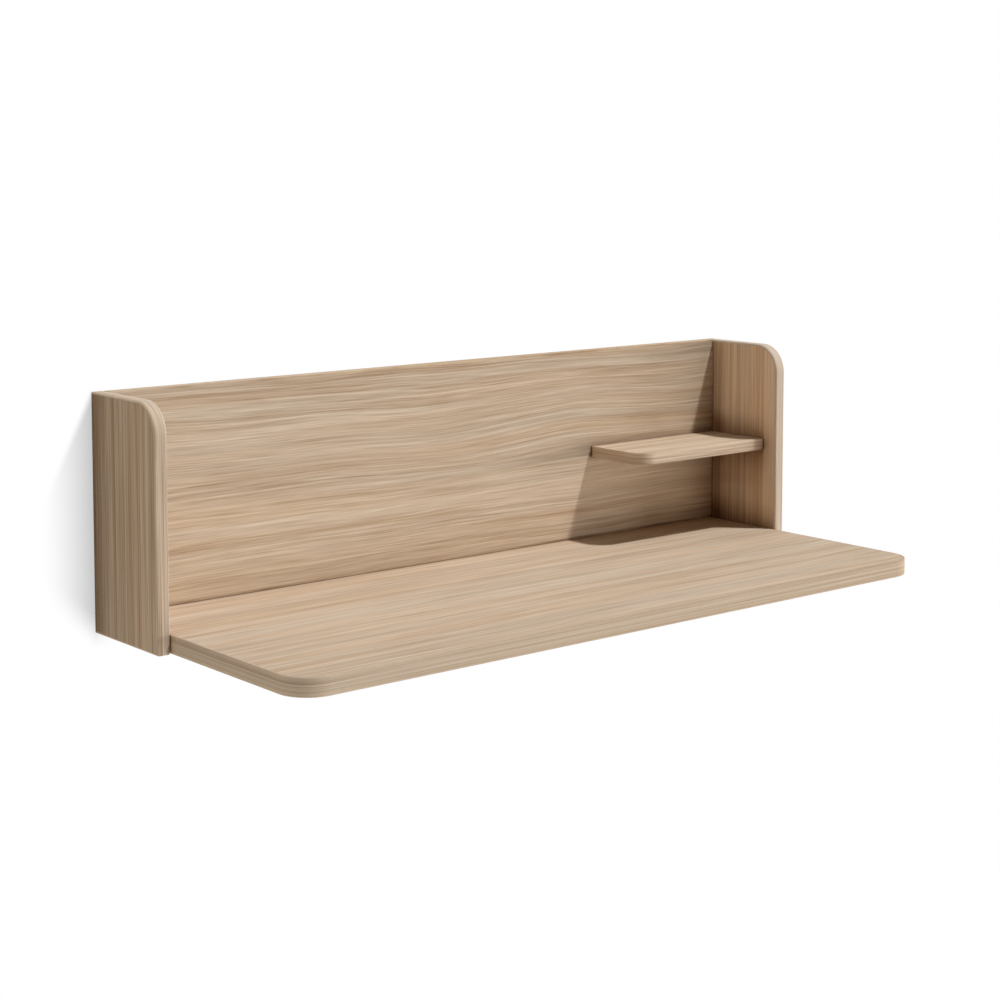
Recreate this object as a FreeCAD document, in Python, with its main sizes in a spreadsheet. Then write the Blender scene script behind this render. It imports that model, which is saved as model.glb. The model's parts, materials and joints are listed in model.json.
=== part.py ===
"""Fold down wall desk: a wall-hung case with a desktop that turns up to close its front.

Frame: X to the right, -Y out of the wall into the room, +Z up. The origin is the middle of the
wall rail's row of screw holes, on the wall's face. Lengths are millimetres.

Every size and place below is a formula over the sheet's cells, written in that frame.
"""
import FreeCAD, Part
import os
import Sketcher

PARTS_FOLDER = "parts"
PICK_TOLERANCE = 0.01        # for finding edges on a face of a box

# Driving dimensions. Heights are measured up from the underside of the case unless they say so.
DIMENSIONS = {
    # Case and boards
    "case_width": 1200.0,
    "case_height": 334.0,
    "case_depth": 171.0,
    "case_board": 19.0,
    "case_corner": 45.0,        # outer radius of an end board's upper front corner
    "band": 3.0,                # thickness of every edge band
    "end_arris": 2.5,           # rounding of the end boards' long edges
    "desk_arris": 1.0,          # the same on the desktop
    "shelf_arris": 1.0,         # the same on the shelf
    "back_arris": 0.4,          # the same on the back panel
    "wall_gap": 3.0,            # back panel's rear face to the wall
    # Desktop
    "desk_reach": 472.0,        # wall to the desktop's front edge
    "desk_board": 25.0,
    "desk_corner": 45.0,
    "desk_lift": 0.5,           # desktop's underside above the case's underside
    "desk_end_gap": 1.5,
    "desk_wall_gap": 3.0,
    "desk_top_gap": 0.6,        # desktop's top face to the back panel's lower edge
    "desk_setback": 0.5,        # closed desktop behind the end boards' front edges
    # Shelf
    "shelf_length": 279.5,
    "shelf_top": 176.5,
    "shelf_corner": 30.0,
    "shelf_clearance": 1.5,     # shelf's front edge to the closed desktop
    "shelf_rear_gap": 4.0,      # shelf's rear edge to the back panel, filled by a spacer strip
    "shelf_end_gap": 3.0,       # shelf's right end to the end board, filled by a spacer strip
    "strip_inset": 1.0,         # spacer strips in from the shelf's faces and free edges
    # Desktop pivots
    "pin_radius": 5.0,
    "pin_play": 0.05,           # radial running clearance of a pin in its bush
    "pin_in_bush": 11.0,
    "pin_in_socket": 34.0,
    "bush_radius": 7.0,
    "bush_length": 12.0,
    "bush_flange_radius": 10.0,
    "bush_flange": 1.0,
    "socket_radius": 7.0,
    "socket_length": 36.0,
    # Stop pads let into the back panel's lower edge
    "pad_length": 60.0,
    "pad_width": 12.0,
    "pad_thickness": 2.0,
    "pad_clearance": 0.3,       # to the open desktop's top face
    "pad_inset": 200.0,         # pad's middle from the outside of the case
    # Cam fittings
    "cam_radius": 7.5,
    "cam_depth": 12.5,
    "cam_reach": 34.0,          # joint face to the cam's centre
    "cam_mouth_radius": 3.6,
    "bolt_thread_radius": 2.5,
    "bolt_thread_length": 11.0,
    "bolt_collar_radius": 3.5,
    "bolt_neck_radius": 2.2,
    "bolt_neck_length": 4.0,
    "bolt_head_radius": 3.2,
    "bolt_head_length": 4.0,
    "bolt_end_radius": 4.0,     # drilling that a bolt's shank passes through
    "dowel_radius": 4.0,
    "dowel_half_length": 14.0,
    "dowel_bore_spare": 1.0,
    "cap_radius": 8.5,
    "cap_thickness": 1.0,
    # Where the fittings sit
    "back_cam_low": 70.0,
    "back_cam_drop": 54.0,      # upper cams below the top of the case
    "back_dowel_low": 110.0,
    "back_dowel_drop": 94.0,
    "shelf_cam_first": 60.0,    # along the shelf from its free end
    "shelf_cam_second": 170.0,
    "shelf_dowel_first": 25.0,
    "shelf_dowel_second": 115.0,
    "shelf_end_cam": 60.0,      # out from the wall
    "shelf_end_dowel": 110.0,
    # Wall rail and hanging rail
    "rail_drop": 94.0,          # wall rail's screw row below the top of the case
    "rail_end_gap": 100.0,      # rails' ends in from the outside of the case
    "rail_sheet": 2.0,
    "bend_inside": 1.0,
    "rail_foot": 12.0,          # wall rail's lower edge below its screw row
    "rail_flange": 32.0,
    "rail_lip": 15.0,           # wall rail's lip, up from the top of its flange's step
    "rail_lip_gap": 4.5,        # wall to the back of the lip
    "rail_hole_radius": 3.0,
    "rail_hole_inner": 150.0,   # from the middle, each way
    "rail_hole_margin": 50.0,   # outer holes in from the rail's ends
    "hook_gap": 1.5,            # wall to the back of the hanging rail's hook
    "hook_drop": 11.0,
    "hanging_flange": 32.0,
    "recess_depth": 7.0,
    "recess_margin": 5.0,
    "screw_head_radius": 3.75,
    "screw_head_height": 1.8,
    "screw_shank_radius": 1.75,
    "screw_bite": 9.0,
    "screw_margin": 20.0,       # outer screws in from the rail's ends
    "screw_height": 17.0,       # above the hanging rail's step
    # Spacers low on the back panel's rear face
    "spacer_radius": 10.0,
    "spacer_height": 60.0,
    "spacer_inset": 200.0,      # spacer's middle from the outside of the case
    # Cross recesses that turn the cams and drive the screws
    "cam_slot_length": 9.0,
    "cam_slot_width": 1.6,
    "cam_slot_depth": 2.5,
    "screw_slot_length": 4.4,
    "screw_slot_width": 0.9,
    "screw_slot_depth": 1.1,
}

# Lengths worked out from the driving ones, also cells of the sheet. Each may use those before it.
DERIVED = {
    "rail_height": "case_height - rail_drop",
    "base": "-rail_height",
    "half_width": "case_width / 2",
    "inner_half": "half_width - case_board",
    "back_face": "wall_gap + case_board",
    "back_bottom": "base + desk_lift + desk_board + desk_top_gap",
    "back_middle": "wall_gap + case_board / 2",
    "pad_bottom": "back_bottom - desk_top_gap + pad_clearance",
    "desk_half": "inner_half - desk_end_gap",
    "desk_bottom": "base + desk_lift",
    "pivot_depth": "case_depth - desk_setback - desk_board / 2",
    "pivot_height": "desk_bottom + desk_board / 2",
    "shelf_front": "pivot_depth - desk_board / 2 - shelf_clearance",
    "shelf_right": "inner_half - shelf_end_gap",
    "shelf_left": "shelf_right - shelf_length",
    "shelf_rear": "back_face + shelf_rear_gap",
    "shelf_bottom": "base + shelf_top - case_board",
    "shelf_middle": "shelf_bottom + case_board / 2",
    "pad_offset": "half_width - pad_inset",
    "spacer_offset": "half_width - spacer_inset",
    "back_cam_high": "case_height - back_cam_drop",
    "back_dowel_high": "case_height - back_dowel_drop",
    "rail_length": "case_width - 2 * rail_end_gap",
    "rail_hole_outer": "rail_length / 2 - rail_hole_margin",
    "screw_spacing": "( rail_length - 2 * screw_margin ) / 4",
    "bend_outside": "bend_inside + rail_sheet",
    "rail_bottom": "-rail_foot",
    "rail_step": "rail_bottom + rail_flange",
    "rail_lip_top": "rail_step - rail_sheet + rail_lip",
    "recess_floor": "wall_gap + recess_depth",
    "hanging_top": "rail_lip_top + hanging_flange",
    "recess_bottom": "rail_bottom - recess_margin",
    "recess_height": "hanging_top + recess_margin - recess_bottom",
    "recess_half": "rail_length / 2 + recess_margin",
}


SIDES = {"left": "-1", "right": "1"}
RAIL_SCREW_STEPS = (-2, -1, 0, 1, 2)    # places along the hanging rail, in spacings from its middle
X, Y, Z = range(3)
AXES = "xyz"
TURNS = {
    "+x": FreeCAD.Rotation(FreeCAD.Vector(0, 1, 0), 90),
    "-x": FreeCAD.Rotation(FreeCAD.Vector(0, 1, 0), -90),
    "+y": FreeCAD.Rotation(FreeCAD.Vector(1, 0, 0), -90),
    "-y": FreeCAD.Rotation(FreeCAD.Vector(1, 0, 0), 90),
    "+z": FreeCAD.Rotation(),
    "-z": FreeCAD.Rotation(FreeCAD.Vector(1, 0, 0), 180),
}
OUTWARD = {"left": "-x", "right": "+x"}
INWARD = {"left": "+x", "right": "-x"}

doc = FreeCAD.newDocument("wall_desk")
sheet = doc.addObject("Spreadsheet::Sheet", "dims")
nodes = []


# ---------------------------------------------------------------- sheet and formulas

def with_sheet_name(formula):
    """The formula with each cell's name written in full, as dims.NAME."""
    words = formula.replace("(", " ( ").replace(")", " ) ").split()
    full = []
    for word in words:
        name = word.lstrip("-")
        if name in DIMENSIONS or name in DERIVED:
            word = word.replace(name, "dims." + name)
        full.append(word)
    return " ".join(full)


def fill_sheet():
    """One row for each dimension: its name beside its value, which has the name as alias."""
    cells = {name: str(value) for name, value in DIMENSIONS.items()}
    cells.update({name: "=" + formula for name, formula in DERIVED.items()})
    for row, (name, text) in enumerate(cells.items(), start=1):
        sheet.set(f"A{row}", name)
        sheet.set(f"B{row}", text)
        sheet.setAlias(f"B{row}", name)
    doc.recompute()


def bind(feature, **formulas):
    """Tie properties of a feature to formulas over the sheet's cells."""
    for prop, formula in formulas.items():
        feature.setExpression(prop, with_sheet_name(formula))


def put(feature, place, turn=TURNS["+z"]):
    """Stand a feature at a place, given as three formulas, with a turn."""
    feature.Placement = FreeCAD.Placement(FreeCAD.Vector(), turn)
    for axis, formula in zip(AXES, place):
        feature.setExpression(f"Placement.Base.{axis}", with_sheet_name(formula))


def moved(place, direction, distance):
    """A place taken along a direction such as -x by a distance, itself a formula."""
    sign, axis = direction[0], AXES.index(direction[1])
    shifted = list(place)
    shifted[axis] = f"{place[axis]} {sign} ( {distance} )"
    return shifted


def node(feature, label):
    """Make a feature a sub-part, which is written to a file of its own."""
    feature.Label = label
    nodes.append(feature)
    return feature


# ---------------------------------------------------------------- solids

def box(name, corner, size):
    feature = doc.addObject("Part::Box", name)
    put(feature, corner)
    bind(feature, Length=size[X], Width=size[Y], Height=size[Z])
    return feature


def rod(name, start, direction, radius, length):
    """A cylinder from its start along a direction such as +x."""
    feature = doc.addObject("Part::Cylinder", name)
    put(feature, start, TURNS[direction])
    bind(feature, Radius=radius, Height=length)
    return feature


def fused(name, pieces):
    feature = doc.addObject("Part::MultiFuse", name)
    feature.Shapes = pieces
    feature.Refine = True
    return feature


def cut(name, base, tools):
    """The base without the tools, which may overlap each other."""
    feature = doc.addObject("Part::Cut", name)
    feature.Base = base
    feature.Tool = tools[0] if len(tools) == 1 else fused(name + "_tools", tools)
    return feature


def cross_slot(centre, into, length, width, depth):
    """Two crossed slots, sunk from the centre of a face into a piece."""
    axis = AXES.index(into[1])
    across = [other for other in (X, Y, Z) if other != axis]
    slots = []
    for long_axis, short_axis in (across, across[::-1]):
        corner, size = list(centre), [depth] * 3
        if into[0] == "-":
            corner[axis] = f"{centre[axis]} - {depth}"
        for slot_axis, extent in ((long_axis, length), (short_axis, width)):
            corner[slot_axis] = f"{centre[slot_axis]} - {extent} / 2"
            size[slot_axis] = extent
        slots.append(box("slot", corner, size))
    return slots


def group(label, pieces):
    """Several like solids that make one sub-part."""
    feature = doc.addObject("Part::Compound", label)
    feature.Links = pieces
    return node(feature, label)


def rectangle_sketch(body, role, width, height):
    """A rectangle from the body's origin, on one of the body's own planes."""
    sketch = body.newObject("Sketcher::SketchObject", body.Name + "_outline")
    plane = next(item for item in body.Origin.OriginFeatures if item.Role == role)
    sketch.AttachmentSupport = [(plane, "")]
    sketch.MapMode = "FlatFace"
    corners = [FreeCAD.Vector(*corner) for corner in ((0, 0), (1, 0), (1, 1), (0, 1))]
    lines = range(len(corners))
    for line in lines:
        sketch.addGeometry(Part.LineSegment(corners[line - 1], corners[line]))
    for line in lines:
        sketch.addConstraint(Sketcher.Constraint("Coincident", lines[line - 1], 2, line, 1))
    left, lower, right, upper = lines
    for line in (lower, upper):
        sketch.addConstraint(Sketcher.Constraint("Horizontal", line))
    for line in (left, right):
        sketch.addConstraint(Sketcher.Constraint("Vertical", line))
    sketch.addConstraint(Sketcher.Constraint("Coincident", lower, 1, -1, 1))
    for kind, line, formula in (("DistanceX", lower, width), ("DistanceY", right, height)):
        index = sketch.addConstraint(Sketcher.Constraint(kind, line, 1, line, 2, 1.0))
        sketch.setExpression(f"Constraints[{index}]", with_sheet_name(formula))
    return sketch


def slab(name, corner, role, width, height, thickness, toward_back=False):
    """A padded rectangle that stands at a corner of its own."""
    body = doc.addObject("PartDesign::Body", name)
    put(body, corner)
    pad = body.newObject("PartDesign::Pad", name + "_pad")
    pad.Profile = rectangle_sketch(body, role, width, height)
    bind(pad, Length=thickness)
    pad.Reversed = toward_back
    body.Tip = pad
    doc.recompute()
    return body


def edges_on(body, skip=(), **faces):
    """Names of the edges that lie on every named face of the body's box, such as y="low"."""
    shape = body.Tip.Shape
    bounds = shape.BoundBox
    limits = {
        "x": {"low": bounds.XMin, "high": bounds.XMax},
        "y": {"low": bounds.YMin, "high": bounds.YMax},
        "z": {"low": bounds.ZMin, "high": bounds.ZMax},
    }

    def lies_on(edge, axis, end):
        return all(abs(getattr(vertex.Point, axis) - limits[axis][end]) < PICK_TOLERANCE
                   for vertex in edge.Vertexes)

    names = []
    for number, edge in enumerate(shape.Edges, start=1):
        kept = all(lies_on(edge, axis, end) for axis, end in faces.items())
        if kept and not any(lies_on(edge, axis, end) for axis, end in skip):
            names.append(f"Edge{number}")
    return names


def rounded(body, radius, edges):
    """Round edges of a body with one radius."""
    base = body.Tip
    fillet = body.newObject("PartDesign::Fillet", body.Name + "_round")
    fillet.Base = (base, edges)
    bind(fillet, Radius=radius)
    body.Tip = fillet
    doc.recompute()
    return body


# ---------------------------------------------------------------- boards and their edge bands

def end_board_shape(name, side, inset):
    """An end board's outline, held in from its banded edges by the inset."""
    left_face = "-half_width" if side == "left" else "inner_half"
    corner = (left_face, f"-case_depth + {inset}", f"base + {inset}")
    board = slab(name, corner, "YZ_Plane", f"case_depth - 2 * {inset}", f"case_height - 2 * {inset}",
                 "case_board")
    return rounded(board, f"case_corner - {inset}", edges_on(board, y="low", z="high"))


def arrised(body, axis, radius, skip=()):
    """Round the long edges of a band, on both faces of its board."""
    edges = edges_on(body, skip, **{axis: "low"}) + edges_on(body, skip, **{axis: "high"})
    return rounded(body, radius, edges)


def end_board(side):
    """An end board, drilled for its pivot bush and for the fittings of the boards it holds."""
    blank = end_board_shape(f"{side}_end_blank", side, "band")
    outline = arrised(end_board_shape(f"{side}_end_outline", side, "0"), "x", "end_arris")
    node(cut(f"{side}_end_band", outline, [blank]), f"{side}_side_band")
    inner_face = f"{SIDES[side]} * inner_half"
    drills = [rod(f"{side}_bush_bore", (inner_face, "-pivot_depth", "pivot_height"), OUTWARD[side],
                  "bush_radius", "bush_length")]
    for place in back_cam_joints(side):
        drills.append(rod(f"{side}_thread_bore", place, OUTWARD[side], "bolt_thread_radius",
                          "bolt_thread_length"))
    for place in back_dowel_joints(side):
        drills.append(dowel_bore(place, OUTWARD[side]))
    if side == "right":
        drills.append(rod("shelf_thread_bore", shelf_end_cam("inner_half"), "+x",
                          "bolt_thread_radius", "bolt_thread_length"))
        drills.append(dowel_bore(shelf_end_dowel("inner_half"), "+x"))
    node(cut(f"{side}_end_board", blank, drills), f"{side}_side_panel")


def back_board():
    """The back panel with its rail recess, its end drillings and its two long edge bands."""
    width = "2 * inner_half"
    core_height = "base + case_height - back_bottom - 2 * band"
    blank = slab("back_blank", ("-inner_half", "-wall_gap", "back_bottom + band"), "XZ_Plane",
                 width, core_height, "case_board")
    tools = [box("rail_recess", ("-recess_half", "-recess_floor", "recess_bottom"),
                 ("2 * recess_half", "recess_depth", "recess_height"))]
    for side in SIDES:
        for place in back_cam_joints(side):
            tools += cam_bores(place, INWARD[side], "-y", "-wall_gap")
        tools += [dowel_bore(place, INWARD[side]) for place in back_dowel_joints(side)]
    for place in shelf_rear_cams("back_face"):
        tools.append(rod("shelf_rear_thread_bore", place, "+y", "bolt_thread_radius",
                         "bolt_thread_length"))
    tools += [dowel_bore(place, "+y") for place in shelf_rear_dowels("back_face")]
    tools += [rod("rail_screw_bore", place, "-y", "screw_shank_radius", "screw_bite")
              for place in rail_screw_places("recess_floor")]
    node(cut("back_board", blank, tools), "back_panel")
    top = back_band("back_top_strip", "base + case_height - band", "high", width)
    bottom = back_band("back_bottom_strip", "back_bottom", "low", width)
    node(top, "back_panel_top_band")
    node(cut("pocketed_strip", bottom, [pad_block(side) for side in SIDES]), "back_panel_bottom_band")


def back_band(name, bottom, outer_side, width):
    """One long edge band of the back panel, rounded along its outer edges."""
    strip = slab(name, ("-inner_half", "-wall_gap", bottom), "XZ_Plane", width, "band", "case_board")
    edges = edges_on(strip, y="low", z=outer_side) + edges_on(strip, y="high", z=outer_side)
    return rounded(strip, "back_arris", edges)


def shelf_shape(name, inset):
    """The shelf's outline, held in from its free end and front edge by the inset."""
    board = slab(name, (f"shelf_left + {inset}", f"-shelf_front + {inset}", "shelf_bottom"),
                 "XY_Plane", f"shelf_length - {inset}", f"shelf_front - shelf_rear - {inset}",
                 "case_board")
    return rounded(board, f"shelf_corner - {inset}", edges_on(board, x="low", y="low"))


def shelf_board():
    """The shelf, drilled at its right end and along its rear edge, and its edge band."""
    blank = shelf_shape("shelf_blank", "band")
    outline = arrised(shelf_shape("shelf_outline", "0"), "z", "shelf_arris",
                      skip=(("x", "high"), ("y", "high")))
    node(cut("shelf_edge_band", outline, [blank]), "shelf_band")
    tools = cam_bores(shelf_end_cam("shelf_right"), "-x", "+z", "shelf_bottom")
    tools.append(dowel_bore(shelf_end_dowel("shelf_right"), "-x"))
    for place in shelf_rear_cams("shelf_rear"):
        tools += cam_bores(place, "-y", "+z", "shelf_bottom")
    tools += [dowel_bore(place, "-y") for place in shelf_rear_dowels("shelf_rear")]
    node(cut("shelf_board", blank, tools), "shelf")


def shelf_spacer_strips():
    """Dark strips that hold the shelf off the back panel and off the right end board."""
    height = "case_board - 2 * strip_inset"
    rear_blank = box("rear_strip_blank",
                     ("shelf_left + strip_inset", "-shelf_rear", "shelf_bottom + strip_inset"),
                     ("inner_half - shelf_left - strip_inset", "shelf_rear_gap", height))
    end_blank = box("end_strip_blank",
                    ("shelf_right", "-shelf_front + strip_inset", "shelf_bottom + strip_inset"),
                    ("shelf_end_gap", "shelf_front - shelf_rear - 2 * strip_inset", height))
    rear_holes = [rod("strip_bolt_hole", place, "-y", "bolt_end_radius", "shelf_rear_gap")
                  for place in shelf_rear_cams("back_face")]
    rear_holes += [rod("strip_dowel_hole", place, "-y", "dowel_radius", "shelf_rear_gap")
                   for place in shelf_rear_dowels("back_face")]
    end_holes = [
        rod("strip_bolt_hole", shelf_end_cam("inner_half"), "-x", "bolt_end_radius", "shelf_end_gap"),
        rod("strip_dowel_hole", shelf_end_dowel("inner_half"), "-x", "dowel_radius", "shelf_end_gap"),
    ]
    group("shelf_spacer_strips", [cut("rear_strip", rear_blank, rear_holes),
                                  cut("end_strip", end_blank, end_holes)])


def desktop_shape(name, inset):
    """The desktop's outline, held in from all four edges by the inset."""
    board = slab(name, (f"-desk_half + {inset}", f"-desk_reach + {inset}", "desk_bottom"),
                 "XY_Plane", f"2 * ( desk_half - {inset} )",
                 f"desk_reach - desk_wall_gap - 2 * {inset}", "desk_board")
    front_corners = edges_on(board, x="low", y="low") + edges_on(board, x="high", y="low")
    return rounded(board, f"desk_corner - {inset}", front_corners)


def desktop_board():
    """The desktop and its edge band, both bored in the ends for the pivot sockets."""
    blank = desktop_shape("desktop_blank", "band")
    outline = arrised(desktop_shape("desktop_outline", "0"), "z", "desk_arris")
    bores = [rod(f"{side}_socket_bore", desk_end(side), INWARD[side], "socket_radius",
                 "socket_length") for side in SIDES]
    node(cut("desktop_edge_band", outline, [blank] + bores), "desktop_band")
    node(cut("desktop_board", blank, bores), "desktop")


# ---------------------------------------------------------------- knock-down fittings

def back_cam_joints(side):
    """Where the cam bolts cross the face between an end board and the back panel."""
    return [(f"{SIDES[side]} * inner_half", "-back_middle", f"base + {height}")
            for height in ("back_cam_low", "back_cam_high")]


def back_dowel_joints(side):
    return [(f"{SIDES[side]} * inner_half", "-back_middle", f"base + {height}")
            for height in ("back_dowel_low", "back_dowel_high")]


def shelf_rear_cams(face):
    """Where the shelf's rear cam bolts cross a face: the back panel's, or the shelf's own."""
    return [(f"shelf_left + {along}", f"-{face}", "shelf_middle")
            for along in ("shelf_cam_first", "shelf_cam_second")]


def shelf_rear_dowels(face):
    return [(f"shelf_left + {along}", f"-{face}", "shelf_middle")
            for along in ("shelf_dowel_first", "shelf_dowel_second")]


def shelf_end_cam(face):
    """Where the shelf's end cam bolt crosses a face: the end board's, or the shelf's own."""
    return (face, "-shelf_end_cam", "shelf_middle")


def shelf_end_dowel(face):
    return (face, "-shelf_end_dowel", "shelf_middle")


def cam_start(joint, inward, open_face, depth_axis):
    """The centre of a cam's open end: inward from the joint, on the face it is fitted from."""
    start = moved(joint, inward, "cam_reach")
    start[depth_axis] = open_face
    return start


def cam_bores(joint, inward, into, open_face):
    """The round pocket for a cam's housing, and the drilling that its bolt passes through."""
    start = cam_start(joint, inward, open_face, AXES.index(into[1]))
    pocket = rod("cam_pocket", start, into, "cam_radius", "cam_depth")
    passage = rod("bolt_passage", joint, inward, "bolt_end_radius", "cam_reach")
    return [pocket, passage]


def cam(joint, inward, into, open_face):
    """A cam's housing, with a mouth that takes the bolt's head."""
    start = cam_start(joint, inward, open_face, AXES.index(into[1]))
    housing = rod("cam_housing", start, into, "cam_radius", "cam_depth")
    mouth = rod("cam_mouth", joint, inward, "cam_mouth_radius", "cam_reach + bolt_head_length / 2")
    slots = cross_slot(start, into, "cam_slot_length", "cam_slot_width", "cam_slot_depth")
    return cut("cam", housing, [mouth] + slots)


def cam_bolt(face, inward, outward, gap="0"):
    """A bolt: its thread behind one board's face, its collar, neck and head on the way to the cam."""
    neck_reach = f"{gap} + cam_reach - bolt_head_length / 2 - bolt_neck_length"
    neck_start = moved(face, inward, neck_reach)
    head_start = moved(neck_start, inward, "bolt_neck_length")
    return fused("cam_bolt", [
        rod("thread", face, outward, "bolt_thread_radius", "bolt_thread_length"),
        rod("collar", face, inward, "bolt_collar_radius", neck_reach),
        rod("neck", neck_start, inward, "bolt_neck_radius", "bolt_neck_length"),
        rod("head", head_start, inward, "bolt_head_radius", "bolt_head_length"),
    ])


def dowel_bore(joint, direction):
    return rod("dowel_bore", joint, direction, "dowel_radius", "dowel_half_length + dowel_bore_spare")


def dowel(face, direction, opposite, gap="0"):
    """A wooden dowel, centred on the gap between the face of one board and the other board."""
    start = moved(face, opposite, f"dowel_half_length + {gap} / 2")
    return rod("dowel", start, direction, "dowel_radius", "2 * dowel_half_length")


def back_panel_fittings():
    """Cams, bolts and dowels between the back panel and the end boards."""
    joints = [(place, side) for side in SIDES for place in back_cam_joints(side)]
    group("back_panel_cams", [cam(place, INWARD[side], "-y", "-wall_gap") for place, side in joints])
    group("back_panel_cam_bolts", [cam_bolt(place, INWARD[side], OUTWARD[side])
                                   for place, side in joints])
    group("back_panel_dowels", [dowel(place, "+x", "-x")
                                for side in SIDES for place in back_dowel_joints(side)])


def shelf_fittings():
    """Cams, bolts, dowels and cam caps of the shelf."""
    cams = [(shelf_end_cam("shelf_right"), "-x")]
    cams += [(place, "-y") for place in shelf_rear_cams("shelf_rear")]
    group("shelf_cams", [cam(place, inward, "+z", "shelf_bottom") for place, inward in cams])
    group("shelf_cam_caps", [
        rod("cam_cap", cam_start(place, inward, "shelf_bottom", Z), "-z", "cap_radius",
            "cap_thickness") for place, inward in cams])
    bolts = [cam_bolt(shelf_end_cam("inner_half"), "-x", "+x", "shelf_end_gap")]
    bolts += [cam_bolt(place, "-y", "+y", "shelf_rear_gap") for place in shelf_rear_cams("back_face")]
    group("shelf_cam_bolts", bolts)
    dowels = [dowel(shelf_end_dowel("inner_half"), "+x", "-x", "shelf_end_gap")]
    dowels += [dowel(place, "+y", "-y", "shelf_rear_gap") for place in shelf_rear_dowels("back_face")]
    group("shelf_dowels", dowels)


# ---------------------------------------------------------------- desktop pivots and stop

def desk_end(side):
    """Where the pivot's axis leaves an end of the desktop."""
    return (f"{SIDES[side]} * desk_half", "-pivot_depth", "pivot_height")


def pivot(side):
    """One end's pivot: a socket in the desktop, the pin it holds, and the bush the pin turns in."""
    outward, inward = OUTWARD[side], INWARD[side]
    end = desk_end(side)
    socket = rod(f"{side}_socket_body", end, inward, "socket_radius", "socket_length")
    socket_hole = rod(f"{side}_socket_hole", end, inward, "pin_radius", "socket_length")
    node(cut(f"{side}_socket", socket, [socket_hole]), f"{side}_pivot_socket")
    pin_start = moved(end, inward, "pin_in_socket")
    pin = rod(f"{side}_pin", pin_start, outward, "pin_radius",
              "pin_in_socket + desk_end_gap + pin_in_bush")
    node(pin, f"{side}_pivot_pin")
    face = (f"{SIDES[side]} * inner_half", "-pivot_depth", "pivot_height")
    flange_face = moved(face, inward, "bush_flange")
    bush = fused(f"{side}_bush_body", [
        rod(f"{side}_bush_sleeve", face, outward, "bush_radius", "bush_length"),
        rod(f"{side}_bush_flange", face, inward, "bush_flange_radius", "bush_flange"),
    ])
    bush_hole = rod(f"{side}_bush_hole", flange_face, outward, "pin_radius + pin_play",
                    "bush_flange + bush_length")
    node(cut(f"{side}_bush", bush, [bush_hole]), f"{side}_pivot_bush")


def pad_block(side):
    """The room a stop pad takes up, in the back panel's lower edge and just below it."""
    return box("pad_block", (f"{SIDES[side]} * pad_offset - pad_length / 2",
                             "-back_middle - pad_width / 2", "pad_bottom"),
               ("pad_length", "pad_width", "pad_thickness"))


def stop_pads():
    """Pads that the open desktop's tail comes up against."""
    group("desktop_stop_pads", [pad_block(side) for side in SIDES])


# ---------------------------------------------------------------- rails and spacers on the wall

def rail_screw_places(depth):
    """The hanging rail's screws, at a depth out from the wall."""
    return [(f"{step} * screw_spacing", f"-{depth}", "rail_lip_top + screw_height")
            for step in RAIL_SCREW_STEPS]


def rail_piece(name, near, bottom, reach, height):
    """A full-length strip of a rail: out from the wall from near, by reach."""
    return box(name, ("-rail_length / 2", f"-( {near} + {reach} )", bottom),
               ("rail_length", reach, height))


def bent(name, strip):
    """A rail with its bends rounded: wide outside, narrow inside. Its free edges stay square."""
    doc.recompute()
    bounds = strip.Shape.BoundBox
    sides, ends = (bounds.YMin, bounds.YMax), (bounds.ZMin, bounds.ZMax)
    fillets = []
    for number, edge in enumerate(strip.Shape.Edges, start=1):
        near, height = edge.CenterOfMass.y, edge.CenterOfMass.z
        free = min(abs(height - end) for end in ends) < PICK_TOLERANCE
        if free or abs(edge.Length - bounds.XLength) > PICK_TOLERANCE:
            continue
        outside = min(abs(near - side) for side in sides) < PICK_TOLERANCE
        radius = sheet.get("bend_outside" if outside else "bend_inside")
        fillets.append((number, radius, radius))
    rail = doc.addObject("Part::Fillet", name)
    rail.Base = strip
    rail.Edges = fillets
    return rail


def wall_rail():
    """Z-shaped rail: a flange screwed to the wall, and a lip that stands off it."""
    profile = fused("wall_rail_profile", [
        rail_piece("wall_flange", "0", "rail_bottom", "rail_sheet", "rail_flange"),
        rail_piece("wall_step", "0", "rail_step - rail_sheet", "rail_lip_gap + rail_sheet",
                   "rail_sheet"),
        rail_piece("wall_lip", "rail_lip_gap", "rail_step - rail_sheet", "rail_sheet", "rail_lip"),
    ])
    holes = [rod("wall_screw_hole", (f"{SIDES[side]} * {offset}", "0", "0"), "-y",
                 "rail_hole_radius", "rail_sheet")
             for side in SIDES for offset in ("rail_hole_inner", "rail_hole_outer")]
    node(cut("wall_rail_strip", bent("wall_rail_bends", profile), holes), "wall_rail")


def hanging_rail():
    """The same rail upside down: its step rests on the wall rail's lip and its hook drops behind."""
    flange_near = "recess_floor - rail_sheet"
    profile = fused("hanging_profile", [
        rail_piece("hanging_flange_strip", flange_near, "rail_lip_top", "rail_sheet",
                   "hanging_flange"),
        rail_piece("hanging_step", "hook_gap", "rail_lip_top", "recess_floor - hook_gap",
                   "rail_sheet"),
        rail_piece("hanging_hook", "hook_gap", "rail_lip_top - hook_drop", "rail_sheet",
                   "hook_drop + rail_sheet"),
    ])
    holes = [rod("hanging_hole", place, "-y", "screw_shank_radius", "rail_sheet")
             for place in rail_screw_places("( recess_floor - rail_sheet )")]
    node(cut("hanging_strip", bent("hanging_rail_bends", profile), holes), "hanging_rail")


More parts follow.
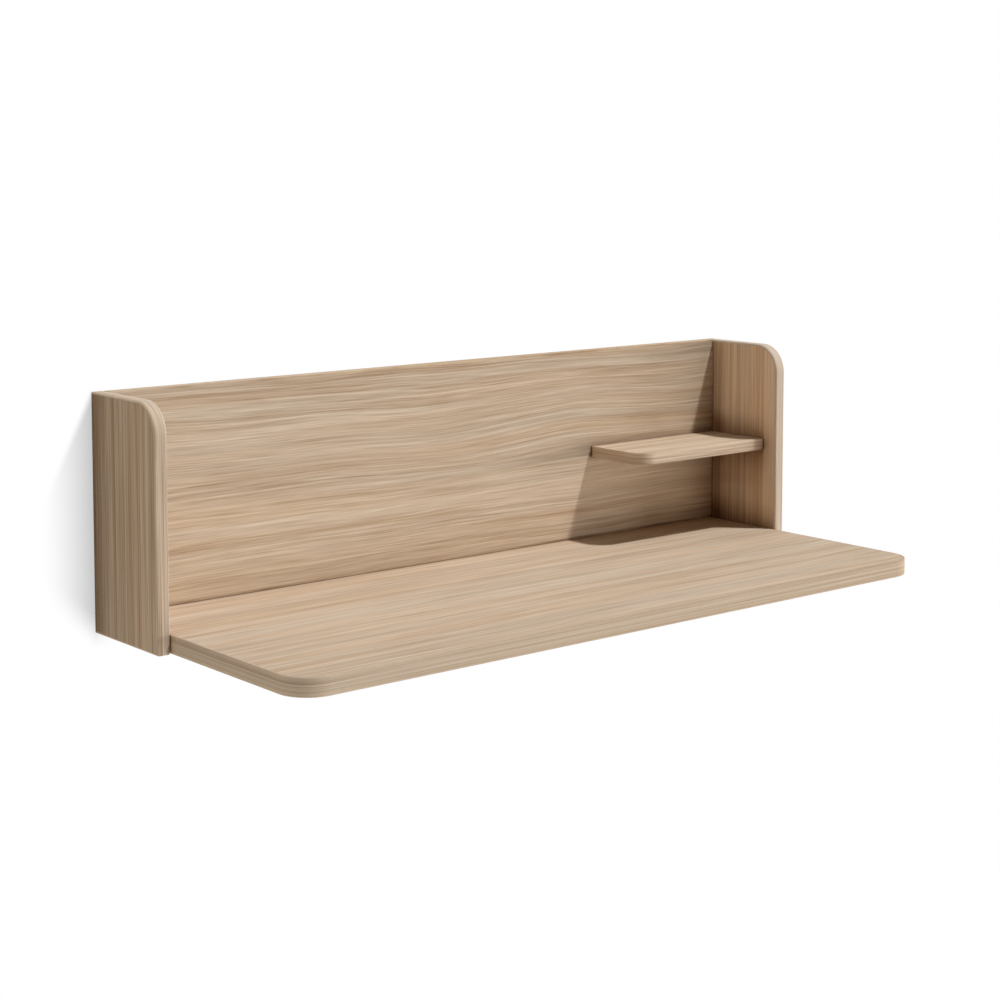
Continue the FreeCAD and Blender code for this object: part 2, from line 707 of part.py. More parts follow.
def rail_screws():
    """Pan-head screws through the hanging rail into the back panel."""
    screws = []
    for place in rail_screw_places("( recess_floor - rail_sheet )"):
        screw = fused("rail_screw", [
            rod("screw_head", place, "+y", "screw_head_radius", "screw_head_height"),
            rod("screw_shank", place, "-y", "screw_shank_radius", "rail_sheet + screw_bite"),
        ])
        slots = cross_slot(moved(place, "+y", "screw_head_height"), "-y", "screw_slot_length",
                           "screw_slot_width", "screw_slot_depth")
        screws.append(cut("slotted_screw", screw, slots))
    group("hanging_rail_screws", screws)


def wall_spacers():
    """Rubber pads that fill the gap between the back panel and the wall, low down."""
    group("wall_spacers", [
        rod("spacer", (f"{SIDES[side]} * spacer_offset", "0", "base + spacer_height"), "-y",
            "spacer_radius", "wall_gap") for side in SIDES])


# ---------------------------------------------------------------- the whole desk

def faults():
    """Names of the features that failed and of the sub-parts with no sound shape."""
    failed = [item.Name for item in doc.Objects if {"Invalid", "Error"} & set(item.State)]
    unsound = [item.Label for item in nodes if item.Shape.isNull() or not item.Shape.isValid()]
    return failed + unsound


def build():
    fill_sheet()
    for side in SIDES:
        end_board(side)
    back_board()
    shelf_board()
    shelf_spacer_strips()
    desktop_board()
    back_panel_fittings()
    shelf_fittings()
    for side in SIDES:
        pivot(side)
    stop_pads()
    wall_rail()
    hanging_rail()
    rail_screws()
    wall_spacers()
    doc.recompute()


build()
if faults():
    raise SystemExit("unsound: " + ", ".join(faults()))
os.makedirs(PARTS_FOLDER, exist_ok=True)
for item in nodes:
    item.Shape.exportStep(os.path.join(PARTS_FOLDER, item.Label + ".step"))
    print(f"{item.Label}: {len(item.Shape.Solids)} solids, {item.Shape.Volume / 1000:.1f} cm3")
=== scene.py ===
"""Looks of the fold down wall desk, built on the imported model: oak-look boards and bands,
the metal and plastic fittings, a studio with a white wall and floor, and the camera.

Everything is in metres, in the model's own frame: X to the right, -Y out of the wall, +Z up.
"""
from collections import namedtuple
from itertools import product
import json
import math

import bpy
from mathutils import Euler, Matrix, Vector


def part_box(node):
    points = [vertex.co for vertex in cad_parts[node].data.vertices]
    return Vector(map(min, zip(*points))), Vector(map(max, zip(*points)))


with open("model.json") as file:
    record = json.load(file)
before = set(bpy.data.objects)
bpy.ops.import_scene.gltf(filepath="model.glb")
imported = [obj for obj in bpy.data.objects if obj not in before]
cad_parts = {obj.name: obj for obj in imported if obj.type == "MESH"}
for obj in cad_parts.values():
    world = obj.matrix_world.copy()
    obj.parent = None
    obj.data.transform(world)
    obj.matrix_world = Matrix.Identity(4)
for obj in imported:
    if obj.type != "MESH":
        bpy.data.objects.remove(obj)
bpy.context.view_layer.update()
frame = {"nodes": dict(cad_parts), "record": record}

CASE_LOW, CASE_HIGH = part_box("left_side_panel")[0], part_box("right_side_panel")[1]

WHITE = (1.0, 1.0, 1.0)
BLACK = (0.0, 0.0, 0.0)
X_AXIS, Y_AXIS, Z_AXIS = (1.0, 0.0, 0.0), (0.0, 1.0, 0.0), (0.0, 0.0, 1.0)


# ---------------------------------------------------------------- camera

LENS = 73.06                # mm
SENSOR = 36.0               # mm
LENS_SHIFT = -0.18          # keeps the uprights nearly parallel, as a shift lens does
NEAR_CLIP = 0.01
CAMERA_PLACE = (-1.919, -2.470, 0.430)
CAMERA_TURN = 39.59         # degrees to the right of straight at the wall
CAMERA_DIP = 4.96           # degrees below level
LEVEL_TILT = 90.0           # a camera with no tilt looks straight down


def add_camera():
    data = bpy.data.cameras.new("camera")
    data.lens = LENS
    data.sensor_width = SENSOR
    data.shift_y = LENS_SHIFT
    data.clip_start = NEAR_CLIP
    camera = bpy.data.objects.new("camera", data)
    camera.location = CAMERA_PLACE
    tilt, turn = math.radians(LEVEL_TILT - CAMERA_DIP), math.radians(CAMERA_TURN)
    camera.rotation_euler = Euler((tilt, 0.0, -turn))
    bpy.context.collection.objects.link(camera)
    bpy.context.scene.camera = camera


# ---------------------------------------------------------------- lights

KEY_TRAVEL = (-0.328, 0.356, -1.0)   # which way the key light goes
KEY_PLACE = (0.0, 0.0, 3.0)          # anywhere will do: a sun's place changes nothing
KEY_STRENGTH = 2.60
KEY_SPREAD = 4.5                     # degrees
WARM = (1.0, 0.90, 0.78)

Softbox = namedtuple("Softbox", "bearing height distance width tallness power colour")

# Bearing (from straight out of the wall to the right) and height in degrees, power in watts
SOFTBOXES = {
    "right_softbox": Softbox(62.0, 1.0, 9.0, 5.2, 1.6, 335.0, WHITE),
    "front_softbox": Softbox(25.0, -4.0, 9.0, 5.2, 1.6, 155.0, WARM),
    "left_softbox": Softbox(-89.0, 10.5, 6.0, 0.8, 1.0, 76.0, WARM),
    "rear_softbox": Softbox(205.0, 25.0, 5.0, 3.0, 3.0, 110.0, WHITE),
}
AIM = Vector((0.0, -0.15, -0.1))     # what the softboxes point at


def add_light(name, kind, place, aim):
    """A lamp at a place that shines along aim; its data is returned, for its strength and size."""
    data = bpy.data.lights.new(name, kind)
    lamp = bpy.data.objects.new(name, data)
    lamp.location = place
    lamp.rotation_mode = "QUATERNION"
    lamp.rotation_quaternion = Vector(aim).to_track_quat("-Z", "Y")
    bpy.context.collection.objects.link(lamp)
    return data


def add_key():
    key = add_light("key", "SUN", KEY_PLACE, KEY_TRAVEL)
    key.energy = KEY_STRENGTH
    key.angle = math.radians(KEY_SPREAD)


def add_softboxes():
    for name, box in SOFTBOXES.items():
        turn, rise = math.radians(box.bearing), math.radians(box.height)
        level = Vector((math.sin(turn), -math.cos(turn), 0.0))
        way = level * math.cos(rise) + Vector(Z_AXIS) * math.sin(rise)
        lamp = add_light(name, "AREA", AIM + box.distance * way, -way)
        lamp.shape = "RECTANGLE"
        lamp.size = box.width
        lamp.size_y = box.tallness
        lamp.energy = box.power
        lamp.color = box.colour


# ---------------------------------------------------------------- node graphs

# Sockets whose names have spaces in them, as keyword arguments
SOCKETS = {
    "BaseColor": "Base Color",
    "SpecularLevel": "Specular IOR Level",
    "FromMin": "From Min",
    "FromMax": "From Max",
    "ToMin": "To Min",
}
NOISE_MIDDLE = 0.5          # a noise node gives about 0 to 1


class Graph:
    """A short way to write a material's or the world's nodes."""

    def __init__(self, tree):
        self.tree = tree
        tree.nodes.clear()

    def add(self, kind, settings=None, **inputs):
        """A node with its settings and inputs, which are numbers, colours or other sockets."""
        made = self.tree.nodes.new(kind)
        for key, value in (settings or {}).items():
            setattr(made, key, value)
        for key, value in inputs.items():
            self.feed(made.inputs[SOCKETS.get(key, key)], value)
        return made

    def feed(self, socket, value):
        if isinstance(value, bpy.types.NodeSocket):
            self.tree.links.new(value, socket)
        else:
            socket.default_value = value

    def math(self, operation, *values, clamp=False):
        made = self.add("ShaderNodeMath", {"operation": operation, "use_clamp": clamp})
        for socket, value in zip(made.inputs, values):
            self.feed(socket, value)
        return made.outputs[0]

    def line(self, value, slope, start, clamp=False):
        """slope * value + start, and held between 0 and 1 if clamp is on."""
        return self.math("MULTIPLY_ADD", value, slope, start, clamp=clamp)

    def climb(self, value, start, end, low=0.0, kind="LINEAR"):
        """low up to start, 1 from end on, and even or smooth in between."""
        made = self.add("ShaderNodeMapRange", {"interpolation_type": kind}, Value=value,
                        FromMin=start, FromMax=end, ToMin=low)
        return made.outputs[0]

    def vector_math(self, operation, vector, other):
        made = self.add("ShaderNodeVectorMath", {"operation": operation})
        self.feed(made.inputs[0], vector)
        self.feed(made.inputs[1], other)
        return made.outputs

    def place(self):
        """A point's own coordinates in its object, which are metres in the model's frame."""
        return self.add("ShaderNodeTexCoord").outputs["Object"]

    def noise(self, vector, detail=2.0, roughness=0.5, scale=1.0):
        """Noise about zero, from about -0.5 to 0.5."""
        made = self.add("ShaderNodeTexNoise", Vector=vector, Scale=scale, Detail=detail,
                        Roughness=roughness)
        return self.math("SUBTRACT", made.outputs["Fac"], NOISE_MIDDLE)

    def ramp(self, factor, *stops):
        """A colour ramp: pairs of a place and a colour, from low to high."""
        made = self.add("ShaderNodeValToRGB", Fac=factor)
        elements = made.color_ramp.elements
        while len(elements) < len(stops):
            elements.new(0.5)       # between the two that are there; the loop below moves it
        for element, (place, colour) in zip(elements, stops):
            element.position = place
            element.color = (*colour, 1.0)
        return made.outputs[0]

    def mix(self, factor, first, second, blend="MIX"):
        """Two colours mixed; each is a colour or a socket."""
        made = self.add("ShaderNodeMix", {"data_type": "RGBA", "blend_type": blend})
        # The node's number, vector and colour sockets share their names, so they go by identifier
        for name, value in (("Factor_Float", factor), ("A_Color", first), ("B_Color", second)):
            socket = next(item for item in made.inputs if item.identifier == name)
            if isinstance(value, tuple):
                value = (*value, 1.0)
            self.feed(socket, value)
        return next(item for item in made.outputs if item.identifier == "Result_Color")

    def join(self, kind, first, second, **inputs):
        """Two shaders joined by a mix or add node, which has their sockets last."""
        made = self.add(kind, **inputs)
        self.tree.links.new(first.outputs[0], made.inputs[-2])
        self.tree.links.new(second.outputs[0], made.inputs[-1])
        return made

    def end(self, shader, output="ShaderNodeOutputMaterial"):
        last = self.add(output)
        self.tree.links.new(shader.outputs[0], last.inputs["Surface"])


def material(name):
    made = bpy.data.materials.new(name)
    made.use_nodes = True
    return made, Graph(made.node_tree)


# ---------------------------------------------------------------- wood

OAK = (0.577, 0.450, 0.326)
# The darkest and the lightest of the figure, and its two hues, all as shares of a colour
OAK_DARKER, OAK_LIGHTER = (0.68, 0.59, 0.51), (1.31, 1.41, 1.51)
OAK_GREY, OAK_RED = (0.985, 1.01, 1.04), (1.025, 0.985, 0.94)

# Painted shade near an inner corner, which darkens the wood's colour there: how far out it reaches,
# and what share of the colour is left
SLIGHT_CORNER_SHADE = (0.008, (0.85, 0.79, 0.73))
MEDIUM_CORNER_SHADE = (0.015, (0.80, 0.72, 0.64))
DEEP_CORNER_SHADE = (0.045, (0.34, 0.24, 0.16))
CORNER_SHADE_SAMPLES = 4
CLOSED_AT, OPEN_AT = 0.50, 0.90     # how open a place is where it is darkest, and where it is plain

# Layers of the figure: waves to the metre along, across and through a board, and strength
Layer = namedtuple("Layer", "along across through strength", defaults=[0.0])
BANDS = Layer(0.7, 26.0, 8.0, 0.30)
STREAKS = Layer(1.4, 90.0, 12.0, 0.52)
LINES = Layer(2.6, 210.0, 12.0, 0.58)
FIBRES = Layer(9.0, 560.0, 20.0, 1.35)
PORES = Layer(55.0, 1300.0, 40.0, -0.22)
CLUSTERS = Layer(1.2, 42.0, 10.0, -0.32)    # where thin dark lines run, and how dark they are
HUES = Layer(0.9, 34.0, 5.0)                # where the oak is greyer and where redder
FIGURE_MIDDLE = 0.56                        # the level that all layers are added to

# Slope and start of the lines that turn a noise into a share from 0 to 1
PORE_SHARE = (5.0, -0.75)       # only the peaks
RIDGE_SHARE = (-8.0, 1.0)       # only where the noise crosses zero
CLUSTER_SHARE = (4.0, 0.30)
HUE_SHARE = (3.0, 0.5)

# The grain's slow and quick wander, in waves to the metre, and how much less the quick one is
SLOW_WANDER = (1.7, 4.5, 6.0)
QUICK_WANDER = (6.0, 18.0, 9.0)
QUICK_PART = 1 / 5

FIBRE_RAGGEDNESS = 0.65         # the roughness of the fibres' noise
OAK_ROUGHNESS = (0.12, 0.72)    # slope over the fibres, and start
OAK_SPECULAR = 0.06
OAK_RELIEF = (0.25, 0.0002)     # strength, and height in metres
PORE_DEPTH, FIBRE_HEIGHT = -0.7, 0.6        # shares of that height


def shaded(colour, share):
    return tuple(value * part for value, part in zip(colour, share))


class Grain:
    """Coordinates that run along, across and through a board, with the grain's wander in them."""

    def __init__(self, graph, axes, wander, shift, swells):
        self.graph = graph
        place = graph.place()
        self.along, self.across, self.through = (
            graph.math("ADD", graph.vector_math("DOT_PRODUCT", place, axis)["Value"], shift)
            for axis in axes)
        for (middle_along, middle_across), reach, rise in swells:
            self.swell((middle_along + shift, middle_across + shift), reach, rise)
        slow = self.noise(*SLOW_WANDER, detail=1.0)
        quick = self.noise(*QUICK_WANDER, detail=1.0)
        moved = graph.line(slow, wander, self.across)
        self.across = graph.line(quick, wander * QUICK_PART, moved)

    def swell(self, middles, reach, rise):
        """Lift the lines in one place, as round a knot that lies under the face."""
        graph = self.graph
        squares = []
        for value, middle, extent in zip((self.along, self.across), middles, reach):
            off = graph.math("DIVIDE", graph.math("SUBTRACT", value, middle), extent)
            squares.append(graph.math("MULTIPLY", off, off))
        bell = graph.math("EXPONENT", graph.math("MULTIPLY", graph.math("ADD", *squares), -1.0))
        self.across = graph.line(bell, -rise, self.across)

    def noise(self, along, across, through, **settings):
        """Noise with this many waves to the metre each way."""
        graph = self.graph
        scaled = [graph.math("MULTIPLY", value, waves) for value, waves in
                  ((self.along, along), (self.across, across), (self.through, through))]
        vector = graph.add("ShaderNodeCombineXYZ", X=scaled[0], Y=scaled[1], Z=scaled[2])
        return graph.noise(vector.outputs[0], **settings)


def oak(name, axes, wander, shift, contrast=1.0, pace=1.0, fineness=1.0, tint=WHITE, swells=(),
        corner=MEDIUM_CORNER_SHADE):
    """Pale oak laminate: level bands, thin dark lines, fine fibres and short pores, with painted
    shade near inner corners.

    axes run along, across and through the board. wander is how far the grain strays, in metres,
    and shift where the board was cut. contrast deepens the figure, pace shortens it along the
    grain and fineness narrows it across. tint is a share of the oak's colour, and on the end boards
    and bands it also paints light and shade. BACK_SWELLS says what a swell is, and corner is the
    painted shade near inner corners, such as MEDIUM_CORNER_SHADE."""
    made, graph = material(name)
    grain = Grain(graph, axes, wander, shift, swells)

    def figure(layer, fineness=fineness, **settings):
        return grain.noise(layer.along * pace, layer.across * fineness, layer.through, **settings)

    bands, streaks, lines = (figure(layer, detail=1.0) for layer in (BANDS, STREAKS, LINES))
    fibres = figure(FIBRES, detail=2.0, roughness=FIBRE_RAGGEDNESS)
    pores = grain.noise(*PORES[:3], detail=1.0)
    pore = graph.line(pores, *PORE_SHARE, clamp=True)
    ridge = graph.line(graph.math("ABSOLUTE", lines), *RIDGE_SHARE, clamp=True)
    cluster = graph.line(figure(CLUSTERS, fineness=1.0, detail=1.0), *CLUSTER_SHARE, clamp=True)
    dark_line = graph.math("MULTIPLY", ridge, cluster)

    level = FIGURE_MIDDLE
    for value, layer in ((bands, BANDS), (streaks, STREAKS), (lines, LINES), (fibres, FIBRES),
                         (dark_line, CLUSTERS), (pore, PORES)):
        level = graph.line(value, layer.strength * contrast, level)
    board = shaded(OAK, tint)
    colour = graph.ramp(level, (0.0, shaded(board, OAK_DARKER)), (0.5, board),
                        (1.0, shaded(board, OAK_LIGHTER)))
    redness = graph.line(figure(HUES, fineness=1.0, detail=1.0), *HUE_SHARE, clamp=True)
    colour = graph.mix(1.0, colour, graph.mix(redness, OAK_GREY, OAK_RED), blend="MULTIPLY")
    # Painted shade: the colour darkens where the ambient occlusion node finds an inner corner near
    reach, shade_tone = corner
    openness = graph.add("ShaderNodeAmbientOcclusion", {"samples": CORNER_SHADE_SAMPLES}, Distance=reach)
    shade = graph.ramp(openness.outputs["AO"], (CLOSED_AT, shade_tone), (OPEN_AT, WHITE))
    colour = graph.mix(1.0, colour, shade, blend="MULTIPLY")

    strength, depth = OAK_RELIEF
    height = graph.line(pore, PORE_DEPTH, graph.math("MULTIPLY", fibres, FIBRE_HEIGHT))
    relief = graph.add("ShaderNodeBump", Strength=strength, Distance=depth, Height=height)
    graph.end(graph.add("ShaderNodeBsdfPrincipled", BaseColor=colour,
                        Roughness=graph.line(fibres, *OAK_ROUGHNESS), SpecularLevel=OAK_SPECULAR,
                        Normal=relief.outputs[0]))
    return made


# ---------------------------------------------------------------- metal and plastic

MOTTLE_SHARE = (2.2, 0.5)       # slope and start of the line from noise to share
MOTTLE_ROUGHNESS = 0.3          # how much the mottles change the roughness
MOTTLE_DEPTH = 1 / 12           # height of the relief, as a share of a mottle's width

ZINC_DARK, ZINC_LIGHT = (0.34, 0.35, 0.37), (0.48, 0.49, 0.50)
ZINC_CRYSTALS = 150.0           # to the metre
ZINC_SPECKS = 900.0             # to the metre
ZINC_SPECK_SHARE = 0.5
ZINC_ROUGHNESS = (0.18, 0.30)   # slope over the crystals' shade, and start


def speckled(name, low, high, size, metallic, roughness, bump=0.2, fineness=(1.0, 1.0, 1.0)):
    """A material with fine mottling between two colours.

    size is the mottles' width, and fineness narrows them along X, Y and Z."""
    made, graph = material(name)
    waves = tuple(side / size for side in fineness)
    scaled = graph.vector_math("MULTIPLY", graph.place(), waves)["Vector"]
    mottle = graph.noise(scaled, detail=4.0, roughness=0.6)
    colour = graph.mix(graph.line(mottle, *MOTTLE_SHARE, clamp=True), low, high)
    relief = graph.add("ShaderNodeBump", Strength=bump, Distance=size * MOTTLE_DEPTH, Height=mottle)
    graph.end(graph.add("ShaderNodeBsdfPrincipled", BaseColor=colour, Metallic=metallic,
                        Roughness=graph.line(mottle, MOTTLE_ROUGHNESS, roughness),
                        Normal=relief.outputs[0]))
    return made


def galvanised(name):
    """Sheet steel with the flat crystals of hot-dip zinc."""
    made, graph = material(name)
    place = graph.place()
    crystals = graph.add("ShaderNodeTexVoronoi", Vector=place, Scale=ZINC_CRYSTALS, Randomness=1.0)
    shade = graph.add("ShaderNodeSeparateColor", Color=crystals.outputs["Color"]).outputs[0]
    specks = graph.noise(place, detail=3.0, scale=ZINC_SPECKS)
    colour = graph.mix(graph.line(specks, ZINC_SPECK_SHARE, shade, clamp=True), ZINC_DARK, ZINC_LIGHT)
    graph.end(graph.add("ShaderNodeBsdfPrincipled", BaseColor=colour, Metallic=1.0,
                        Roughness=graph.line(shade, *ZINC_ROUGHNESS)))
    return made


# ---------------------------------------------------------------- studio

FLOOR_DROP = 0.85           # how far the floor lies below the open desktop's top
FLOOR_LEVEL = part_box("desktop")[1].z - FLOOR_DROP
FLOOR_COLOUR = (0.80, 0.79, 0.78, 1.0)
FLOOR_TOP_UP = 0.35         # added to what the background's rays see, so that the floor shows white
STAGE_REACH = 4.0
WALL_TOP = 3.0
WALL_GAP = 0.0005           # how far behind the case the wall's face lies
WALL_BOUNCE = (0.40, 0.39, 0.37, 1.0)
DOME_LEVEL = 0.02
DOME_TINT = (1.0, 0.98, 0.96)

# The case's soft shadow on the wall: beside the case on the left, and fainter below it
SHADOW_REACH = 0.078        # how far out it shows
SHADOW_DEPTH = 0.43
SHADOW_FADE = 1.4           # how quickly it fades to the left, as a power
SHADOW_TOP_FALL, SHADOW_TOP_SOFT = 1.97, 0.015      # its upper edge: fall to the left, half blur
SHADOW_FOOT_RISE, SHADOW_FOOT_SOFT = 0.92, 0.03     # its lower edge: rise to the left, half blur
SHADOW_BELOW = 0.15         # the share of it that goes on below the case
SHADOW_BELOW_FADE = 0.04    # how soon it drops to that share, to the right


def plane(name, quads):
    """A flat stage piece from quads of corner places."""
    mesh = bpy.data.meshes.new(name)
    places = [corner for quad in quads for corner in quad]
    faces = [tuple(range(first, first + 4)) for first in range(0, len(places), 4)]
    mesh.from_pydata(places, [], faces)
    piece = bpy.data.objects.new(name, mesh)
    bpy.context.collection.objects.link(piece)
    return piece


def seen_ray(graph):
    """1 for the rays that show the background: the camera's, and those off gloss or through glass."""
    path = graph.add("ShaderNodeLightPath")
    shown = graph.math("MAXIMUM", path.outputs["Is Camera Ray"], path.outputs["Is Glossy Ray"])
    return graph.math("MAXIMUM", shown, path.outputs["Is Transmission Ray"])


def wall_shadow(graph):
    """How dark the wall is beside and below the case, where the case's soft shadow falls."""
    parts = graph.add("ShaderNodeSeparateXYZ", Vector=graph.place())
    across, height = parts.outputs["X"], parts.outputs["Z"]

    # Full at the case's left end, and fading out to the left of it
    left = graph.math("SUBTRACT", CASE_LOW.x, across)
    outside = graph.math("MAXIMUM", left, 0.0)
    near = graph.math("SUBTRACT", 1.0, graph.math("DIVIDE", outside, SHADOW_REACH), clamp=True)
    depth = graph.math("MULTIPLY", graph.math("POWER", near, SHADOW_FADE), SHADOW_DEPTH)

    # Only a share of it below the case, which fades out at the right end
    right = graph.math("SUBTRACT", CASE_HIGH.x, across)
    right = graph.math("DIVIDE", right, SHADOW_REACH, clamp=True)
    below = graph.math("MULTIPLY", graph.math("LESS_THAN", height, CASE_LOW.z), right)
    below = graph.math("MULTIPLY", below, graph.climb(left, -SHADOW_BELOW_FADE, 0.0, SHADOW_BELOW))
    beside = graph.math("GREATER_THAN", left, 0.0)
    depth = graph.math("MULTIPLY", depth, graph.math("MAXIMUM", beside, below))

    # Cut off above and below by two slanting soft edges
    top = graph.line(outside, -SHADOW_TOP_FALL, CASE_HIGH.z + SHADOW_TOP_SOFT)
    foot = graph.line(outside, SHADOW_FOOT_RISE, CASE_LOW.z - SHADOW_FOOT_SOFT)
    for gap, soft in ((graph.math("SUBTRACT", top, height), SHADOW_TOP_SOFT),
                      (graph.math("SUBTRACT", height, foot), SHADOW_FOOT_SOFT)):
        depth = graph.math("MULTIPLY", depth, graph.climb(gap, 0.0, 2 * soft, kind="SMOOTHSTEP"))
    return depth


def wall_white():
    """White with the case's shadow to the rays that show it, darker to the light, clear behind."""
    made, graph = material("wall_white")
    colour = graph.mix(wall_shadow(graph), WHITE, BLACK)
    seen = graph.add("ShaderNodeEmission", Color=colour, Strength=1.0)
    bounce = graph.add("ShaderNodeBsdfDiffuse", Color=WALL_BOUNCE)
    front = graph.join("ShaderNodeMixShader", bounce, seen, Fac=seen_ray(graph))
    clear = graph.add("ShaderNodeBsdfTransparent")
    behind = graph.add("ShaderNodeNewGeometry").outputs["Backfacing"]
    graph.end(graph.join("ShaderNodeMixShader", front, clear, Fac=behind))
    return made


def add_wall():
    """A wall with an opening behind the case, so that the case's back is lit for a rear view."""
    y = CASE_HIGH.y + WALL_GAP
    columns = (-STAGE_REACH, CASE_LOW.x), (CASE_LOW.x, CASE_HIGH.x), (CASE_HIGH.x, STAGE_REACH)
    rows = (FLOOR_LEVEL, CASE_LOW.z), (CASE_LOW.z, CASE_HIGH.z), (CASE_HIGH.z, WALL_TOP)
    quads = []
    for column, row in product(columns, rows):
        if (column, row) != (columns[1], rows[1]):
            (x0, x1), (z0, z1) = column, row
            quads.append(((x0, y, z0), (x1, y, z0), (x1, y, z1), (x0, y, z1)))
    plane("wall", quads).data.materials.append(wall_white())


def floor_pale():
    made, graph = material("floor_pale")
    matt = graph.add("ShaderNodeBsdfDiffuse", Color=FLOOR_COLOUR)
    glow = graph.add("ShaderNodeEmission",
                     Strength=graph.math("MULTIPLY", seen_ray(graph), FLOOR_TOP_UP))
    graph.end(graph.join("ShaderNodeAddShader", matt, glow))
    return made


def add_floor():
    """A pale floor that keeps the desk's shadow and otherwise shows white."""
    near, far = -STAGE_REACH, STAGE_REACH
    corners = [(x, y, FLOOR_LEVEL) for x, y in ((near, near), (far, near), (far, far), (near, far))]
    plane("floor", [corners]).data.materials.append(floor_pale())


def add_world():
    """A faint dome of light that shows as plain white."""
    world = bpy.data.worlds.new("studio")
    world.use_nodes = True
    bpy.context.scene.world = world
    graph = Graph(world.node_tree)
    dome = graph.add("ShaderNodeBackground", Color=(*DOME_TINT, 1.0), Strength=DOME_LEVEL)
    white = graph.add("ShaderNodeBackground", Color=(*WHITE, 1.0), Strength=1.0)
    both = graph.join("ShaderNodeMixShader", dome, white, Fac=seen_ray(graph))
    graph.end(both, "ShaderNodeOutputWorld")


# ---------------------------------------------------------------- the desk

# Axes along, across and through each board. A band's figure is the same all through, and its
# grain turns the corners with the band.
NOWHERE = (0.0, 0.0, 0.0)
BACK_AXES = (X_AXIS, Z_AXIS, Y_AXIS)
LEVEL_AXES = (X_AXIS, Y_AXIS, Z_AXIS)
END_AXES = (Z_AXIS, Y_AXIS, X_AXIS)
BACK_BAND_AXES = (X_AXIS, Y_AXIS, NOWHERE)
LEVEL_BAND_AXES = ((1.0, -1.0, 0.0), Z_AXIS, NOWHERE)   # along the front and back along an end
END_BAND_AXES = ((0.0, 1.0, 1.0), X_AXIS, NOWHERE)      # up the front and back along the top

# Middle, reach along and across, and lift of the places where the back panel's lines swell
BACK_SWELLS = (
    ((0.02, -0.055), (0.16, 0.050), -0.0055),
    ((0.24, -0.005), (0.17, 0.060), 0.0080),
    ((-0.26, -0.020), (0.15, 0.050), 0.0030),
)

# Painted light and shade: the right end board is tinted paler and the left one darker, for how light
# falls on them. Tint, and the figure's contrast, quieter on the right
END_BOARD_LIGHT_AND_GRAIN = {
    "left_side_panel": ((0.86, 0.84, 0.82), 1.65),
    "right_side_panel": ((1.19, 1.15, 1.13), 1.15),
}
# Painted light and shade on the end bands as well: the right band is tinted paler. Tint, and the
# figure's contrast
END_BAND_LIGHT_AND_GRAIN = {
    "left_side_band": ((1.01, 1.05, 1.12), 1.7),
    "right_side_band": ((1.05, 1.10, 1.19), 0.7),
}


def end_finishes():
    """A finish for each end board and each end band, by node, each with its own tint of painted light
    and shade.
    """
    finishes = {}
    for node, (tint, contrast) in END_BOARD_LIGHT_AND_GRAIN.items():
        finishes[node] = oak("oak_" + node, END_AXES, wander=0.003, shift=7.7, contrast=contrast,
                             pace=0.5, fineness=1.3, tint=tint, corner=DEEP_CORNER_SHADE)
    for node, (tint, contrast) in END_BAND_LIGHT_AND_GRAIN.items():
        finishes[node] = oak("oak_" + node, END_BAND_AXES, wander=0.001, shift=9.2,
                             contrast=contrast, pace=0.5, tint=tint)
    return finishes


def wood_finishes():
    """Finishes of the other boards and bands and of the dowels, by material slot."""
    return {
        "back_board": oak("oak_back", BACK_AXES, wander=0.026, shift=3.1, fineness=1.12,
                          tint=(1.065, 1.09, 1.13), swells=BACK_SWELLS, corner=SLIGHT_CORNER_SHADE),
        "back_band": oak("oak_back_band", BACK_BAND_AXES, wander=0.003, shift=5.3),
        "shelf_board": oak("oak_shelf", LEVEL_AXES, wander=0.010, shift=11.5),
        "shelf_band": oak("oak_shelf_band", LEVEL_BAND_AXES, wander=0.002, shift=13.9,
                          contrast=1.9, pace=0.5, tint=(0.98, 1.00, 1.07)),
        "desk_board": oak("oak_desk", LEVEL_AXES, wander=0.012, shift=15.2, contrast=0.87,
                          tint=(0.975, 0.985, 1.02), corner=SLIGHT_CORNER_SHADE),
        "desk_band": oak("oak_desk_band", LEVEL_BAND_AXES, wander=0.001, shift=17.4,
                         contrast=1.25, pace=0.3, fineness=2.2, tint=(0.92, 0.925, 0.945)),
        "beech": speckled("beech", (0.60, 0.43, 0.28), (0.72, 0.54, 0.37), size=0.002,
                          metallic=0.0, roughness=0.6, fineness=(0.3, 1.0, 1.0)),
    }


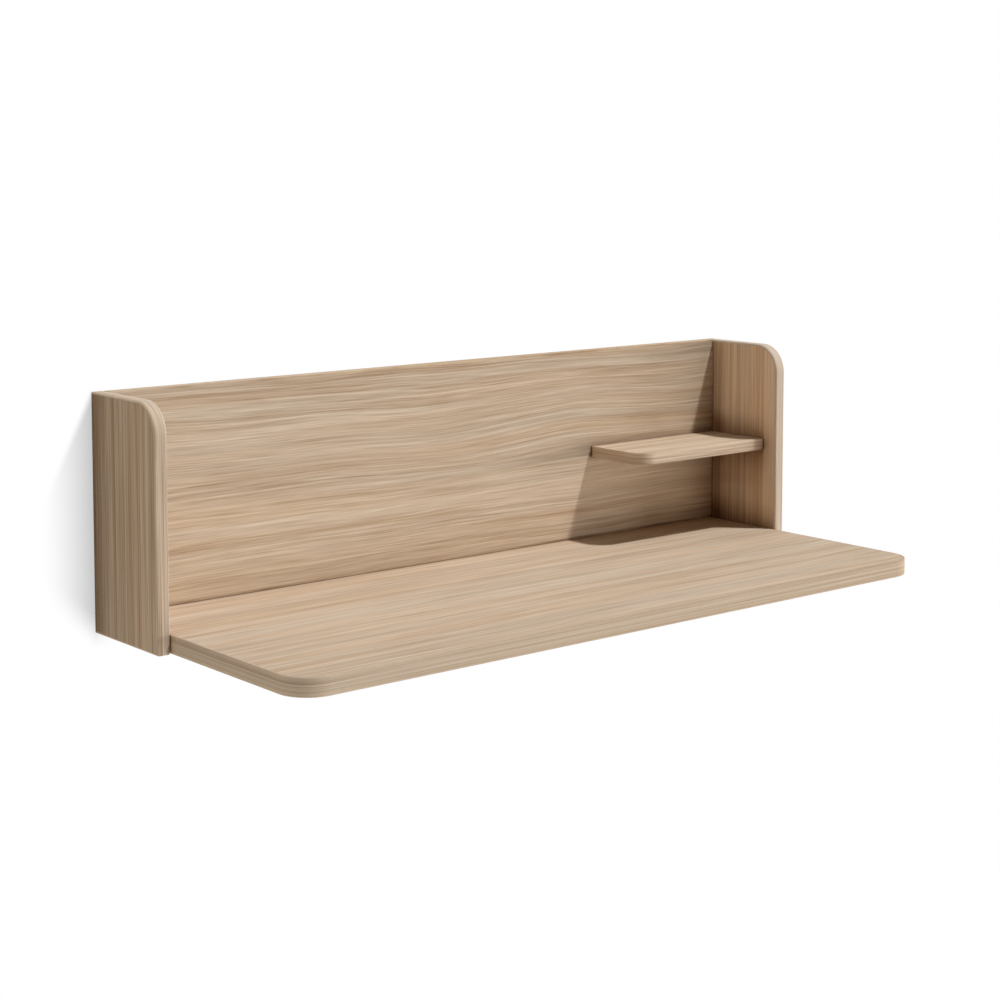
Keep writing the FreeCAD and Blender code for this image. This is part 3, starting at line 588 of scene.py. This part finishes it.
def metal_finishes():
    """Finishes of the fittings and rails, by material slot."""
    return {
        "cam_zinc": speckled("cam_zinc", (0.50, 0.50, 0.49), (0.68, 0.68, 0.66), size=0.0015,
                             metallic=1.0, roughness=0.42),
        "bolt_steel": speckled("bolt_steel", (0.54, 0.54, 0.51), (0.68, 0.67, 0.63), size=0.001,
                               metallic=1.0, roughness=0.30),
        "pin_steel": speckled("pin_steel", (0.52, 0.53, 0.54), (0.64, 0.65, 0.66), size=0.0008,
                              metallic=1.0, roughness=0.22, bump=0.1),
        "socket_brass": speckled("socket_brass", (0.66, 0.48, 0.22), (0.80, 0.62, 0.32), size=0.001,
                                 metallic=1.0, roughness=0.28, bump=0.1),
        "rail_steel": galvanised("rail_steel"),
    }


def plastic_finishes():
    """Finishes of the bushes, caps, pads and strips, by material slot."""
    return {
        "bush_plastic": speckled("bush_plastic", (0.74, 0.73, 0.69), (0.82, 0.81, 0.77),
                                 size=0.0012, metallic=0.0, roughness=0.45),
        "black_rubber": speckled("black_rubber", (0.018, 0.018, 0.018), (0.040, 0.040, 0.040),
                                 size=0.0008, metallic=0.0, roughness=0.75, bump=0.4),
        "cap_plastic": speckled("cap_plastic", (0.50, 0.37, 0.26), (0.60, 0.45, 0.32),
                                size=0.0010, metallic=0.0, roughness=0.55, bump=0.3),
        # Spacer strips sit in the slots behind and beside the shelf; their dark brown is also the
        # painted shade of those slots
        "strip_plastic": speckled("strip_plastic", (0.13, 0.072, 0.038), (0.19, 0.11, 0.060),
                                  size=0.0008, metallic=0.0, roughness=0.6, bump=0.3),
    }


def dress_nodes():
    """Give each node its own finish, or else the finish of its material slot."""
    by_node = end_finishes()
    by_slot = {**wood_finishes(), **metal_finishes(), **plastic_finishes()}
    for part in frame["record"]["subparts"]:
        finish = by_node.get(part["node"]) or by_slot[part["material_slot"]]
        surface = frame["nodes"][part["node"]].data.materials
        surface.clear()
        surface.append(finish)


bpy.context.scene.view_settings.view_transform = "Standard"
add_camera()
add_key()
add_softboxes()
add_world()
add_wall()
add_floor()
dress_nodes()
